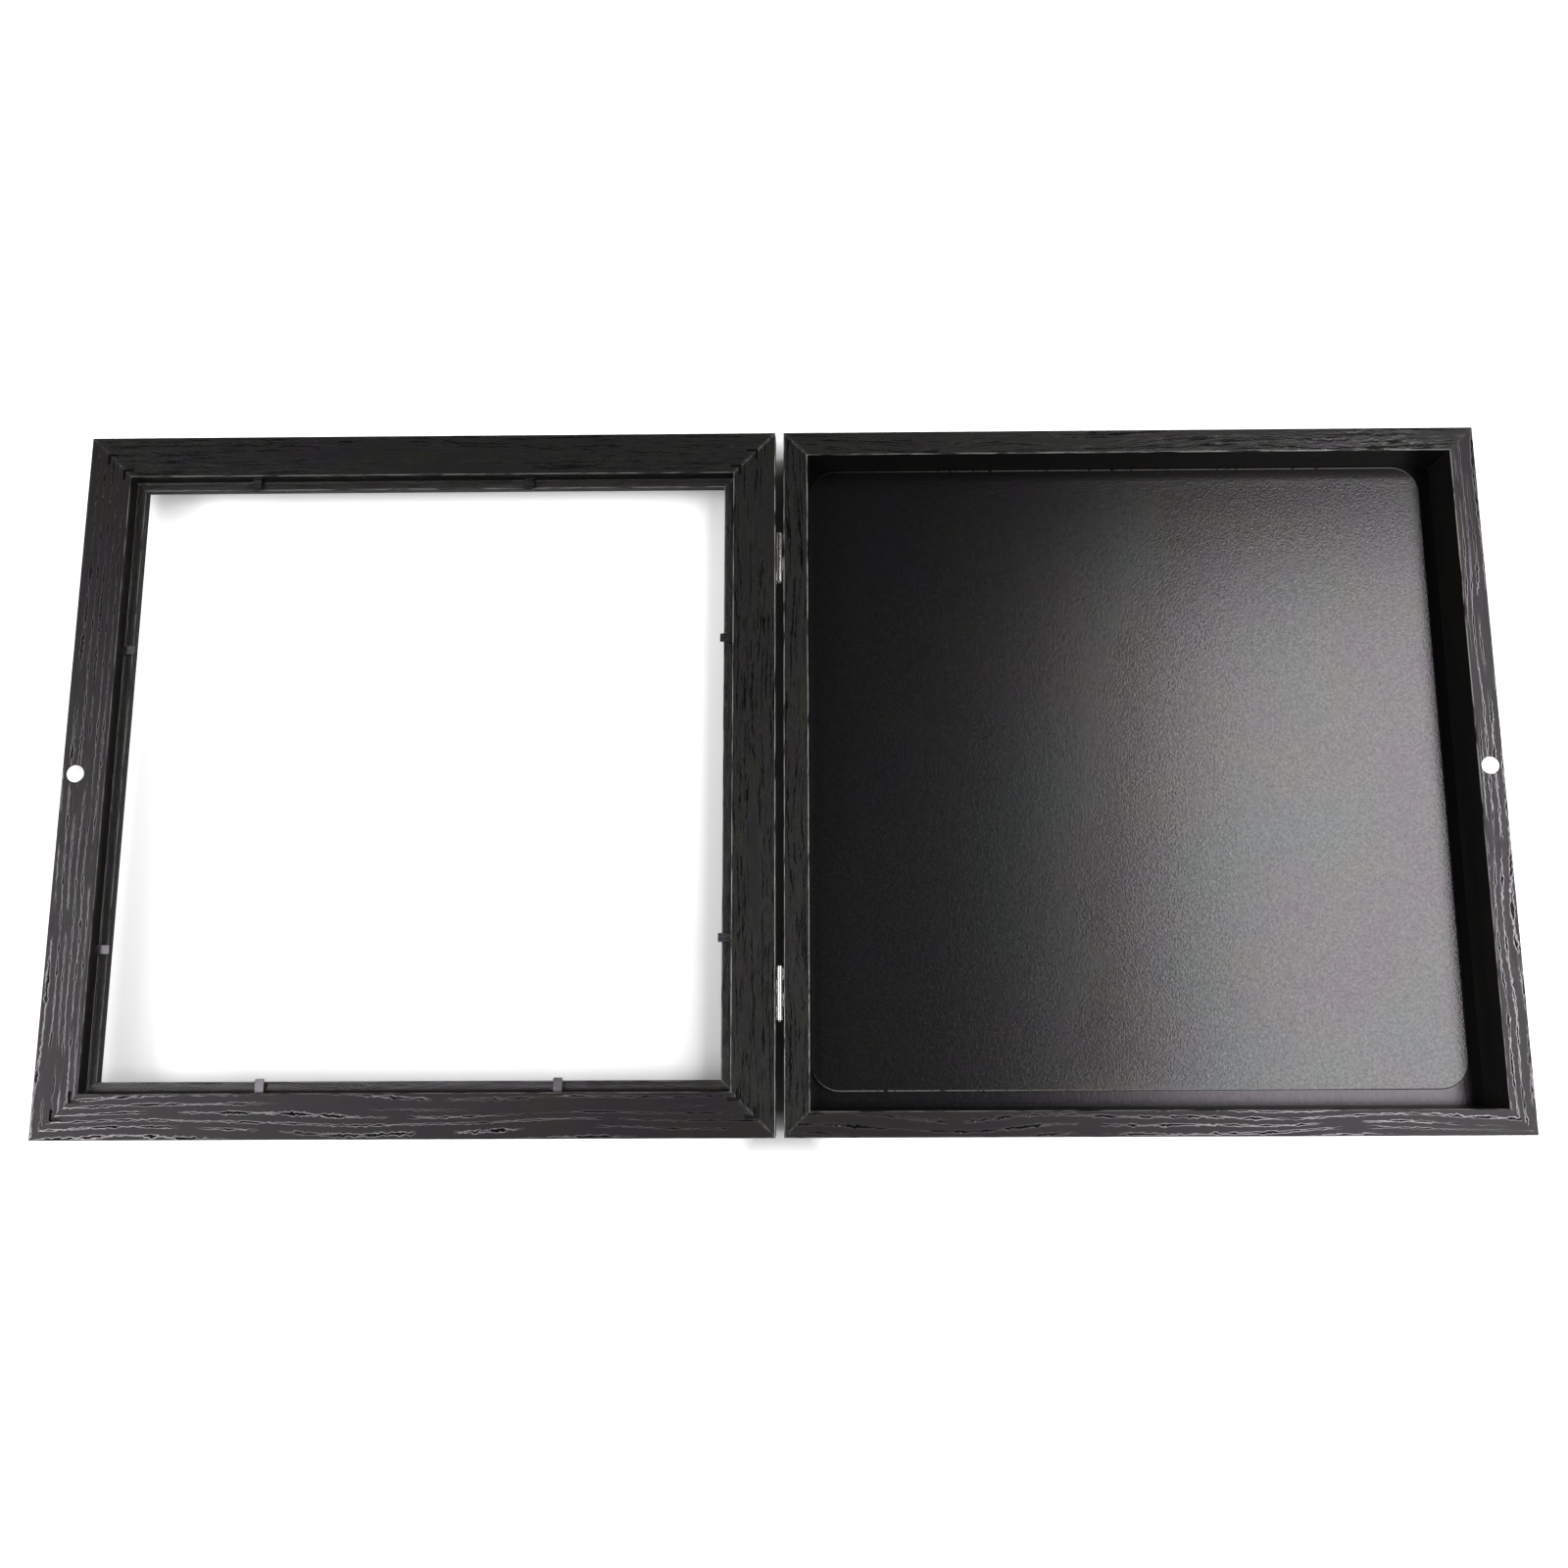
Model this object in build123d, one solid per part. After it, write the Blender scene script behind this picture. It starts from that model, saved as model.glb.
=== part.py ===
from build123d import *
import os

# Square T-shirt display frame, lying open flat: the glazed door at -X, the box case at +X.
# The hinge line runs along Y over the origin, and the frame stands on z = 0. Sizes are in mm.

# Outside of each half, and the gaps between the two halves
frame_side = 400.0
side_gap = 4.6
shut_gap = 0.3
arris_radius = 0.6

# Case
case_depth = 32.0
case_rail_width = 14.0
panel_rabbet_width = 5.0
panel_rabbet_depth = 5.5
panel_thickness = 3.0
panel_clearance = 0.5

# Door
door_thickness = 13.0
door_back_width = 24.4
lip_width = 5.6
lip_thickness = 5.3
pane_thickness = 2.0
pane_clearance = 1.2

# Display board, pushed into the case's top left corner, with room for a finger past its other edges
board_finger_gap = 8.7
board_wall_clearance = 0.3
board_corner_radius = 16.0
board_core_thickness = 3.2
board_face_thickness = 0.8

# V nails across the mitres
v_nail_leg = 5.5
v_nail_sheet = 0.6
v_nail_height = 8.0
v_nail_recess = 0.2
door_v_nail_insets = (11.0, 20.5)
case_v_nail_insets = (4.0,)

# Flat points that hold the pane and the back panel, placed from the middle of each rail
point_length = 15.5
point_width = 5.0
point_sheet = 0.5
pane_point_grip = 8.0
panel_point_grip = 6.5
pane_point_places = {
    "top": (-104.0, 56.0),
    "left": (-98.0, 73.0),
    "bottom": (-82.0, 80.0),
    "right": (-78.0, 93.0),
}
panel_point_spread = 110.0

# Magnets, flush in the two faces that meet
magnet_radius = 5.0
magnet_thickness = 3.0
magnet_edge_distance = 7.5
magnet_recess = 0.1
magnet_clearance = 0.05

# Hinges
hinge_length = 29.0
hinge_distance = 123.5
knuckle_count = 4
knuckle_play = 0.15
barrel_radius = 1.6
leaf_sheet = 0.8
leaf_width = 10.0
leaf_top_drop = 0.1
leaf_bend_height = 1.4
notch_clearance = 0.3
pin_radius = 0.75
pin_clearance = 0.05
pin_head_radius = 1.35
pin_head_height = 0.5
pin_bulb_radius = 1.1
pin_bulb_height = 0.9

# Small fasteners have flat-sided sections
fastener_sides = 12

# Hinge screws
screw_radius = 1.0
screw_head_radius = 1.8
screw_length = 8.0
screw_tip_radius = 0.3
screw_spacing = 18.0
screw_drop = 6.2

# Saw-tooth hangers and their nails, on the back of the case's top rail
hanger_length = 45.0
hanger_width = 8.0
hanger_sheet = 0.8
hanger_rise = 1.3
hanger_end_length = 6.5
hanger_slope_length = 2.5
hanger_distance = 110.0
hanger_edge_distance = 0.5
tooth_pitch = 2.5
tooth_depth = 1.4
tooth_count = 9
nail_radius = 0.7
nail_head_radius = 1.6
nail_head_height = 0.6
nail_length = 9.0

# Wall bumpers on the back corners of the case
bumper_radius = 4.0
bumper_height = 3.0
bumper_edge_distance = 4.5
bumper_taper = 0.8

# Places that follow from the sizes
half_side = frame_side / 2
half_gap = side_gap / 2
door_centre_x = -half_gap - half_side
case_centre_x = half_gap + half_side
case_bottom = bumper_height
rim_height = case_bottom + case_depth
axis_height = rim_height + shut_gap / 2
door_bottom = rim_height - door_thickness
pane_bottom = door_bottom + lip_thickness
pane_top = pane_bottom + pane_thickness
pane_side = frame_side - 2 * (door_back_width + pane_clearance)
panel_top = case_bottom + panel_rabbet_depth
panel_bottom = panel_top - panel_thickness
panel_wall_inset = case_rail_width - panel_rabbet_width
panel_side = frame_side - 2 * (panel_wall_inset + panel_clearance)
board_face_bottom = panel_top + board_core_thickness
board_side = frame_side - 2 * case_rail_width - board_wall_clearance - board_finger_gap
board_middle = (board_finger_gap - board_wall_clearance) / 2

side_turns = {"top": 0, "left": 90, "bottom": 180, "right": 270}
door_rail_names = {"top": "top", "bottom": "bottom", "right": "hinge_side", "left": "magnet_side"}
case_rail_names = {"top": "top", "bottom": "bottom", "left": "hinge_side", "right": "magnet_side"}


def on_side(side, shape):
    """Turns a shape made for the top rail about the middle of its half, to another side."""
    return Rot(0, 0, side_turns[side]) * shape


def grouped(shapes):
    """One node of separate solids."""
    return Compound([solid for shape in shapes for solid in shape.solids()])


def upright_box(x_range, y_range, z_range):
    sizes = [high - low for low, high in (x_range, y_range, z_range)]
    middles = [(high + low) / 2 for low, high in (x_range, y_range, z_range)]
    return Pos(*middles) * Box(*sizes)


def mitred_rail(outline):
    """Top rail of a half. Its outline has (distance in from the outer face, height, corner radius)."""
    corners = [(half_side - inset, height) for inset, height, radius in outline]
    radii = [radius for inset, height, radius in outline]
    section = make_face(FilletPolyline(*corners, radius=radii, close=True))
    bar = extrude(Plane.YZ * section, half_side, both=True)
    heights = [height for inset, height, radius in outline]
    inner = half_side - max(inset for inset, height, radius in outline)
    ends = [(-half_side, half_side), (half_side, half_side), (inner, inner), (-inner, inner)]
    mitres = make_face(Polyline(*ends, close=True))
    return bar & extrude(Pos(0, 0, min(heights)) * mitres, max(heights) - min(heights))


def chevron(inset, low, high):
    """V nail's outline in the top right corner: both legs run back along the rails from the mitre."""
    apex = half_side - inset
    half_sheet = v_nail_sheet / 2
    leg = (apex - v_nail_leg, apex + half_sheet)
    thin = (apex - half_sheet, apex + half_sheet)
    return upright_box(leg, thin, (low, high)) + upright_box(thin, leg, (low, high))


def v_nails(insets, face, inward):
    """V nails at the four corners, and the slots they sit in, driven from a face at the given height."""
    nails = []
    slots = []
    for side in side_turns:
        for inset in insets:
            start = face + inward * v_nail_recess
            end = start + inward * v_nail_height
            nails.append(on_side(side, chevron(inset, min(start, end), max(start, end))))
            slots.append(on_side(side, chevron(inset, min(face, end), max(face, end))))
    return nails, slots


def flat_points(places, wall_inset, grip, low):
    """Flat points that reach from their slots in the rails out over a pane or panel."""
    points = []
    wall = half_side - wall_inset
    for side, offsets in places.items():
        for offset in offsets:
            across = (offset - point_width / 2, offset + point_width / 2)
            along = (wall + grip - point_length, wall + grip)
            points.append(on_side(side, upright_box(across, along, (low, low + point_sheet))))
    return points


def magnet(side, clearance, recess):
    """Disc magnet in one side's mating face. With a clearance it is the recess for it."""
    low = rim_height - magnet_recess - magnet_thickness
    height = magnet_thickness + recess
    place = Pos(0, half_side - magnet_edge_distance, low + height / 2)
    return on_side(side, place * Cylinder(magnet_radius + clearance, height))


def without(shape, cutters):
    for cutter in cutters:
        shape = shape - cutter
    return shape


def flat_sided(start_radius, end_radius, length):
    """Straight or tapered piece of a small fastener, standing on z = 0."""
    start = RegularPolygon(start_radius, fastener_sides)
    end = Pos(0, 0, length) * RegularPolygon(end_radius, fastener_sides)
    return loft([start.face(), end.face()], ruled=True)


def knuckle_span(number):
    """Where one knuckle starts and ends along the barrel, the first at the top."""
    pitch = hinge_length / knuckle_count
    top = hinge_length / 2 - number * pitch
    return top - pitch + knuckle_play / 2, top - knuckle_play / 2


def hinge_leaf(first_knuckle):
    """Leaf on the case's side of a barrel along Y at the origin, with every other knuckle."""
    outer = half_gap
    inner = half_gap - leaf_sheet
    low = -leaf_top_drop - leaf_width
    leaf = upright_box((inner, outer), (-hinge_length / 2, hinge_length / 2), (low, -leaf_top_drop))
    swing = (barrel_radius**2 + leaf_bend_height**2) ** 0.5 + notch_clearance
    for number in range(knuckle_count):
        low, high = knuckle_span(number)
        if number % 2 == first_knuckle:
            ring = Pos(0, (low + high) / 2, 0) * Rot(90, 0, 0) * Cylinder(barrel_radius, high - low)
            bend_heights = (-leaf_bend_height, -leaf_bend_height / 2)
            bend = upright_box((0, inner + leaf_sheet / 2), (low, high), bend_heights)
            leaf = leaf + ring + bend
        else:
            notch = (low - knuckle_play, high + knuckle_play)
            leaf = leaf - upright_box((inner - leaf_sheet, outer + leaf_sheet), notch, (-swing, 0))
    bore = Rot(90, 0, 0) * Cylinder(pin_radius + pin_clearance, hinge_length)
    heads = [hinge_screw(y) for y in (-screw_spacing / 2, screw_spacing / 2)]
    return without(leaf, [bore] + heads)


def hinge_screw(y):
    """Countersunk screw through the leaf into the side of a rail, pointing to +X."""
    head_height = screw_head_radius - screw_radius
    shank_length = screw_length - head_height
    start = half_gap - leaf_sheet
    head = flat_sided(screw_head_radius, screw_radius, head_height)
    shank = Pos(0, 0, head_height) * flat_sided(screw_radius, screw_tip_radius, shank_length)
    return Pos(start, y, -screw_drop) * Rot(0, 90, 0) * (head + shank)


def hinge_pin():
    """Pin through all the knuckles, with a flat head at the top and a riveted bulb at the bottom."""
    shank = Cylinder(pin_radius, hinge_length)
    head = Pos(0, 0, -(hinge_length + pin_head_height) / 2) * Cylinder(pin_head_radius, pin_head_height)
    bulb = Cone(pin_bulb_radius, pin_radius, pin_bulb_height)
    bulb_middle = (hinge_length + pin_bulb_height) / 2
    return Rot(90, 0, 0) * (shank + head + Pos(0, 0, bulb_middle) * bulb)


def sawtooth_hanger():
    """Sheet strip with raised teeth along its lower edge, flat against z = 0 at both ends."""
    end = hanger_length / 2
    knee = end - hanger_end_length
    crest = knee - hanger_slope_length
    upper = [(-end, 0), (-knee, 0), (-crest, -hanger_rise), (crest, -hanger_rise), (knee, 0), (end, 0)]
    lower = [(x, z - hanger_sheet) for x, z in reversed(upper)]
    profile = make_face(Polyline(*upper, *lower, close=True))
    strip = extrude(Plane.XZ * profile, hanger_width / 2, both=True)
    floor = -hanger_width / 2
    gullet = [(-tooth_pitch / 2, floor), (tooth_pitch / 2, floor), (0, floor + tooth_depth)]
    notch = make_face(Polyline(*gullet, close=True))
    cut_depth = hanger_rise + 2 * hanger_sheet
    for number in range(tooth_count):
        x = (number - (tooth_count - 1) / 2) * tooth_pitch
        strip = strip - extrude(Pos(x, 0, -cut_depth) * notch, cut_depth)
    for nail in hanger_nails():
        strip = strip - nail
    return strip


def hanger_nails():
    """The two nails of one hanger, driven up from its flat ends."""
    head = flat_sided(nail_head_radius, nail_head_radius, nail_head_height)
    shank = flat_sided(nail_radius, nail_radius, nail_length)
    nail = Pos(0, 0, -hanger_sheet) * (Pos(0, 0, -nail_head_height) * head + shank)
    reach = (hanger_length - hanger_end_length) / 2
    return [Pos(-reach, 0, 0) * nail, Pos(reach, 0, 0) * nail]


def board_layer(low, thickness):
    outline = RectangleRounded(board_side, board_side, board_corner_radius)
    x = case_centre_x - board_middle
    return extrude(Pos(x, board_middle, low) * outline, thickness)


nodes = {}

# Hinges: the case's half of each is turned from the door's by the pattern of its knuckles
case_leaf = hinge_leaf(first_knuckle=1)
door_leaf = mirror(hinge_leaf(first_knuckle=0), about=Plane.YZ)
hinge_places = {
    "upper": Pos(0, hinge_distance, axis_height),
    "lower": Pos(0, -hinge_distance, axis_height),
}
case_screws = []
door_screws = []
for place_name, place in hinge_places.items():
    nodes[place_name + "_hinge_case_leaf"] = place * case_leaf
    nodes[place_name + "_hinge_door_leaf"] = place * door_leaf
    nodes[place_name + "_hinge_pin"] = place * hinge_pin()
    for y in (-screw_spacing / 2, screw_spacing / 2):
        case_screws.append(place * hinge_screw(y))
        door_screws.append(place * mirror(hinge_screw(y), about=Plane.YZ))
nodes["case_hinge_screws"] = grouped(case_screws)
nodes["door_hinge_screws"] = grouped(door_screws)

# Door: L-shaped rails, with the pane against the lip and flat points over it
to_door = Pos(door_centre_x, 0, 0)
door_outline = [
    (0, door_bottom, arris_radius),
    (door_back_width + lip_width, door_bottom, arris_radius),
    (door_back_width + lip_width, pane_bottom, arris_radius),
    (door_back_width, pane_bottom, 0),
    (door_back_width, rim_height, arris_radius),
    (0, rim_height, arris_radius),
]
door_nails, door_slots = v_nails(door_v_nail_insets, rim_height, -1)
pane_points = flat_points(pane_point_places, door_back_width, pane_point_grip, pane_top)
door_cutters = door_slots + pane_points + [magnet("left", magnet_clearance, magnet_recess)]
for side, name in door_rail_names.items():
    rail = to_door * without(on_side(side, mitred_rail(door_outline)), door_cutters)
    nodes["door_rail_" + name] = without(rail, door_screws) if name == "hinge_side" else rail
nodes["door_v_nails"] = to_door * grouped(door_nails)
nodes["pane_points"] = to_door * grouped(pane_points)
nodes["door_magnet"] = to_door * magnet("left", 0, 0)
pane_middle = (pane_bottom + pane_top) / 2
nodes["clear_pane"] = Pos(door_centre_x, 0, pane_middle) * Box(pane_side, pane_side, pane_thickness)

# Case: deep rails with a rabbet at the back for the panel
to_case = Pos(case_centre_x, 0, 0)
case_outline = [
    (0, case_bottom, arris_radius),
    (panel_wall_inset, case_bottom, arris_radius),
    (panel_wall_inset, panel_top, 0),
    (case_rail_width, panel_top, 0),
    (case_rail_width, rim_height, arris_radius),
    (0, rim_height, arris_radius),
]
case_nails, case_slots = v_nails(case_v_nail_insets, case_bottom, 1)
panel_point_places = {side: (-panel_point_spread, panel_point_spread) for side in side_turns}
point_bottom = panel_bottom - point_sheet
panel_points = flat_points(panel_point_places, panel_wall_inset, panel_point_grip, point_bottom)
case_cutters = case_slots + panel_points + [magnet("right", magnet_clearance, magnet_recess)]

# Hangers sit on the back of the top rail, teeth down
hanger_y = half_side - hanger_edge_distance - hanger_width / 2
hanger_nail_group = []
for name, x in (("left", -hanger_distance), ("right", hanger_distance)):
    place = Pos(case_centre_x + x, hanger_y, case_bottom)
    nodes[name + "_hanger"] = place * sawtooth_hanger()
    hanger_nail_group += [place * nail for nail in hanger_nails()]
nodes["hanger_nails"] = grouped(hanger_nail_group)

for side, name in case_rail_names.items():
    rail = to_case * without(on_side(side, mitred_rail(case_outline)), case_cutters)
    if name == "hinge_side":
        rail = without(rail, case_screws)
    if name == "top":
        rail = without(rail, hanger_nail_group)
    nodes["case_rail_" + name] = rail
nodes["case_v_nails"] = to_case * grouped(case_nails)
nodes["panel_points"] = to_case * grouped(panel_points)
nodes["case_magnet"] = to_case * magnet("right", 0, 0)
panel_middle = (panel_bottom + panel_top) / 2
nodes["back_panel"] = Pos(case_centre_x, 0, panel_middle) * Box(panel_side, panel_side, panel_thickness)

# Wall bumpers
bumper = Pos(0, 0, bumper_height / 2) * Cone(bumper_radius - bumper_taper, bumper_radius, bumper_height)
reach = half_side - bumper_edge_distance
bumper_places = [Pos(x, y, 0) for x in (-reach, reach) for y in (-reach, reach)]
nodes["wall_bumpers"] = to_case * grouped([place * bumper for place in bumper_places])

# Display board
nodes["board_core"] = board_layer(panel_top, board_core_thickness)
nodes["board_face"] = board_layer(board_face_bottom, board_face_thickness)

os.makedirs("parts", exist_ok=True)
for name, shape in nodes.items():
    export_step(shape, f"parts/{name}.step")
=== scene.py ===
from math import cos, pi, radians, sin
import random

import bmesh
import bpy
from mathutils import Euler, Matrix, Vector


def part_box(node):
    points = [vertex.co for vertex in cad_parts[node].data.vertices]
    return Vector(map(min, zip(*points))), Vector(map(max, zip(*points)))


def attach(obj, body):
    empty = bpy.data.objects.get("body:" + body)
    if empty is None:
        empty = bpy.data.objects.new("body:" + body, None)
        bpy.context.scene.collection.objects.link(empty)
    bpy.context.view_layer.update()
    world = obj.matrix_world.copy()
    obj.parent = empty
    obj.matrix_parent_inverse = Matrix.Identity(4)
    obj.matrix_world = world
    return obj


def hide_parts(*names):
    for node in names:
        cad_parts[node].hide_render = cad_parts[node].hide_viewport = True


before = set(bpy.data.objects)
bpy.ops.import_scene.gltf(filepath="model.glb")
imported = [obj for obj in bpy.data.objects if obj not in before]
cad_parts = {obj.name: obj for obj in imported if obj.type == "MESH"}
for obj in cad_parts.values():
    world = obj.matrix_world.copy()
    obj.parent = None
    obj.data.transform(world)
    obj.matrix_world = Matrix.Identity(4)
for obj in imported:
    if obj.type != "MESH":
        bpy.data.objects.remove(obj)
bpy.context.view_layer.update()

# Both halves: the glazed door at -X lies open beside the box case at +X, hinged along Y over the origin
mm = 0.001
door_low, door_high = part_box("door_rail_top")
case_low, case_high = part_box("case_rail_top")
rim = door_high.z
half_side = (case_high.x - case_low.x) / 2
door_centre = Vector(((door_low.x + door_high.x) / 2, 0, 0))
case_centre = Vector(((case_low.x + case_high.x) / 2, 0, 0))
case_rail_width = case_high.y - case_low.y
door_lip_inset = door_high.y - door_low.y
door_back_width = 24.4 * mm
pane_low, pane_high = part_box("clear_pane")
panel_low, panel_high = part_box("back_panel")
panel_wall_inset = 9 * mm
core_low, core_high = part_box("board_core")
face_low, face_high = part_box("board_face")
board_corner_radius = 16 * mm
arris = 0.6 * mm

side_turns = {"top": 0, "left": 90, "bottom": 180, "right": 270}
door_rails = {"top": "top", "bottom": "bottom", "hinge_side": "right", "magnet_side": "left"}
case_rails = {"top": "top", "bottom": "bottom", "hinge_side": "left", "magnet_side": "right"}


# Meshes

def new_piece(name, mesh):
    piece = bpy.data.objects.new(name, mesh)
    bpy.context.scene.collection.objects.link(piece)
    return piece


def from_bmesh(name, shape, smooth_angle=None):
    mesh = bpy.data.meshes.new(name)
    shape.to_mesh(mesh)
    shape.free()
    if smooth_angle is not None:
        mesh.shade_smooth()
        mesh.set_sharp_from_angle(angle=radians(smooth_angle))
    return new_piece(name, mesh)


def settled(piece):
    """Turns a piece with modifiers into a plain mesh."""
    depsgraph = bpy.context.evaluated_depsgraph_get()
    evaluated = piece.evaluated_get(depsgraph)
    mesh = bpy.data.meshes.new_from_object(evaluated, preserve_all_data_layers=True, depsgraph=depsgraph)
    piece.modifiers.clear()
    piece.data = mesh
    return piece


def cut_from(piece, cutter):
    cut = piece.modifiers.new("cut", "BOOLEAN")
    cut.operation = "DIFFERENCE"
    cut.solver = "EXACT"
    cut.object = cutter
    settled(piece)
    return piece


def cad_copy(node, name, softening):
    """Merged copy of a CAD node, with its sharp edges taken off."""
    shape = bmesh.new()
    shape.from_mesh(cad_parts[node].data)
    bmesh.ops.remove_doubles(shape, verts=shape.verts, dist=0.004 * mm)
    bmesh.ops.dissolve_limit(shape, angle_limit=radians(1), verts=shape.verts, edges=shape.edges)
    piece = from_bmesh(name, shape)
    bevel = piece.modifiers.new("softening", "BEVEL")
    bevel.width = softening
    bevel.segments = 2
    bevel.limit_method = "ANGLE"
    bevel.angle_limit = radians(35)
    settled(piece)
    piece.data.shade_smooth()
    piece.data.set_sharp_from_angle(angle=radians(38))
    evened = piece.modifiers.new("evened", "WEIGHTED_NORMAL")
    evened.keep_sharp = True
    return settled(piece)


def finished(piece, body, slot, finish, *nodes):
    """Gives a piece its finish, the body it moves with and the CAD nodes it stands for."""
    piece.data.materials.clear()
    piece.data.materials.append(finish)
    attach(piece, body)
    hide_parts(*nodes)
    return piece


def eased(outline, radius, steps=3):
    """Rounds the corners of an open outline, and guards each round with a point close by on the flats."""
    points = [Vector(outline[0])]
    for before, corner, after in zip(outline, outline[1:], outline[2:]):
        back = (Vector(before) - Vector(corner)).normalized()
        on = (Vector(after) - Vector(corner)).normalized()
        guard = 0.3 * radius
        for step in range(-1, steps + 2):
            share = min(max(step / steps, 0), 1)
            reach_back = radius * (1 - sin(share * pi / 2)) + (guard if step < 0 else 0)
            reach_on = radius * (1 - cos(share * pi / 2)) + (guard if step > steps else 0)
            points.append(Vector(corner) + (back * reach_back + on * reach_on))
    return points + [Vector(outline[-1])]


def turned(name, profile, turn=Matrix.Identity(4), segments=40):
    """Turns a profile of (radius, height) points about Z. It starts and ends on the axis."""
    shape = bmesh.new()
    angles = [number / segments * 2 * pi for number in range(segments)]
    rings = []
    for radius, height in profile[1:-1]:
        spots = [(radius * cos(angle), radius * sin(angle), height) for angle in angles]
        rings.append([shape.verts.new(spot) for spot in spots])
    for ring, following in zip(rings, rings[1:]):
        for number in range(segments):
            beside = (number + 1) % segments
            shape.faces.new([ring[number], ring[beside], following[beside], following[number]])
    shape.faces.new(rings[0])
    shape.faces.new(rings[-1])
    bmesh.ops.recalc_face_normals(shape, faces=shape.faces)
    bmesh.ops.transform(shape, matrix=turn, verts=shape.verts)
    return from_bmesh(name, shape, smooth_angle=35)


def raised(name, outline, low, high, softening=0.0, segments=2, turn=Matrix.Identity(4)):
    """Plate between two heights, with its edges taken off."""
    shape = bmesh.new()
    shape.faces.new([shape.verts.new((x, y, low)) for x, y in outline])
    grown = bmesh.ops.extrude_face_region(shape, geom=shape.faces[:])["geom"]
    upper = [part for part in grown if isinstance(part, bmesh.types.BMVert)]
    bmesh.ops.translate(shape, vec=(0, 0, high - low), verts=upper)
    bmesh.ops.recalc_face_normals(shape, faces=shape.faces)
    if softening:
        bmesh.ops.bevel(
            shape, geom=shape.edges[:], offset=softening, segments=segments, affect="EDGES", profile=0.5
        )
    bmesh.ops.transform(shape, matrix=turn, verts=shape.verts)
    return from_bmesh(name, shape)


# Geometry nodes

class Layout:
    """A tree of geometry nodes on a piece, with named inputs, that is run once and leaves a plain mesh."""

    def __init__(self, name):
        self.tree = bpy.data.node_groups.new(name, "GeometryNodeTree")
        self.values = {}
        self.tree.interface.new_socket("Geometry", in_out="INPUT", socket_type="NodeSocketGeometry")
        self.tree.interface.new_socket("Geometry", in_out="OUTPUT", socket_type="NodeSocketGeometry")
        self.inputs = self.tree.nodes.new("NodeGroupInput")
        self.end = self.tree.nodes.new("NodeGroupOutput")

    def input(self, name, kind, value):
        socket = self.tree.interface.new_socket(name, in_out="INPUT", socket_type="NodeSocket" + kind)
        self.values[socket.identifier] = value
        return self.inputs.outputs[name]

    def add(self, kind, inputs=None, **settings):
        return shader_node(self.tree, "GeometryNode" + kind, inputs, **settings)

    def run(self, piece, copies, finish):
        real = self.add("RealizeInstances", {"Geometry": copies})
        painted = self.add("SetMaterial", {"Geometry": real.outputs[0], "Material": finish})
        self.tree.links.new(painted.outputs[0], self.end.inputs[0])
        modifier = piece.modifiers.new(self.tree.name, "NODES")
        modifier.node_group = self.tree
        for identifier, value in self.values.items():
            modifier[identifier] = value
        return settled(piece)


def set_out(name, pattern, marks, finish):
    """Stands a copy of the pattern on every mark. A mark is a place and a turn about Z, in degrees."""
    mesh = bpy.data.meshes.new(name)
    mesh.from_pydata([place for place, turn in marks], [], [])
    turns = mesh.attributes.new("turn", "FLOAT", "POINT")
    turns.data.foreach_set("value", [radians(turn) for place, turn in marks])
    piece = new_piece(name, mesh)
    layout = Layout(name + "_layout")
    shape = layout.input("Pattern", "Object", pattern)
    surface = layout.input("Finish", "Material", finish)
    turn = layout.add("InputNamedAttribute", {"Name": "turn"}, data_type="FLOAT").outputs[0]
    about_z = shader_node(layout.tree, "ShaderNodeCombineXYZ", {2: turn}).outputs[0]
    copy = layout.add("ObjectInfo", {"Object": shape, "As Instance": True}).outputs["Geometry"]
    spots = {"Points": layout.inputs.outputs["Geometry"], "Instance": copy, "Rotation": about_z}
    copies = layout.add("InstanceOnPoints", spots).outputs[0]
    layout.run(piece, copies, surface)
    bpy.data.objects.remove(pattern)
    return piece


def in_a_row(name, pattern, count, start, pitch, finish):
    """Repeats the pattern along Y, from start, one pitch apart."""
    piece = new_piece(name, bpy.data.meshes.new(name))
    layout = Layout(name + "_layout")
    shape = layout.input("Pattern", "Object", pattern)
    surface = layout.input("Finish", "Material", finish)
    number = layout.input("Count", "Int", count)
    first = layout.input("Start", "Vector", start)
    apart = layout.input("Pitch", "Vector", (0, pitch, 0))
    line = layout.add("MeshLine", {"Count": number, "Start Location": first, "Offset": apart}).outputs[0]
    copy = layout.add("ObjectInfo", {"Object": shape, "As Instance": True}).outputs["Geometry"]
    copies = layout.add("InstanceOnPoints", {"Points": line, "Instance": copy}).outputs[0]
    layout.run(piece, copies, surface)
    bpy.data.objects.remove(pattern)
    return piece


# Shader nodes

def shader_node(tree, kind, inputs=None, **settings):
    made = tree.nodes.new(kind)
    for key, value in settings.items():
        setattr(made, key, value)
    for key, value in (inputs or {}).items():
        if isinstance(value, bpy.types.NodeSocket):
            tree.links.new(value, made.inputs[key])
        else:
            made.inputs[key].default_value = value
    return made


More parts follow.
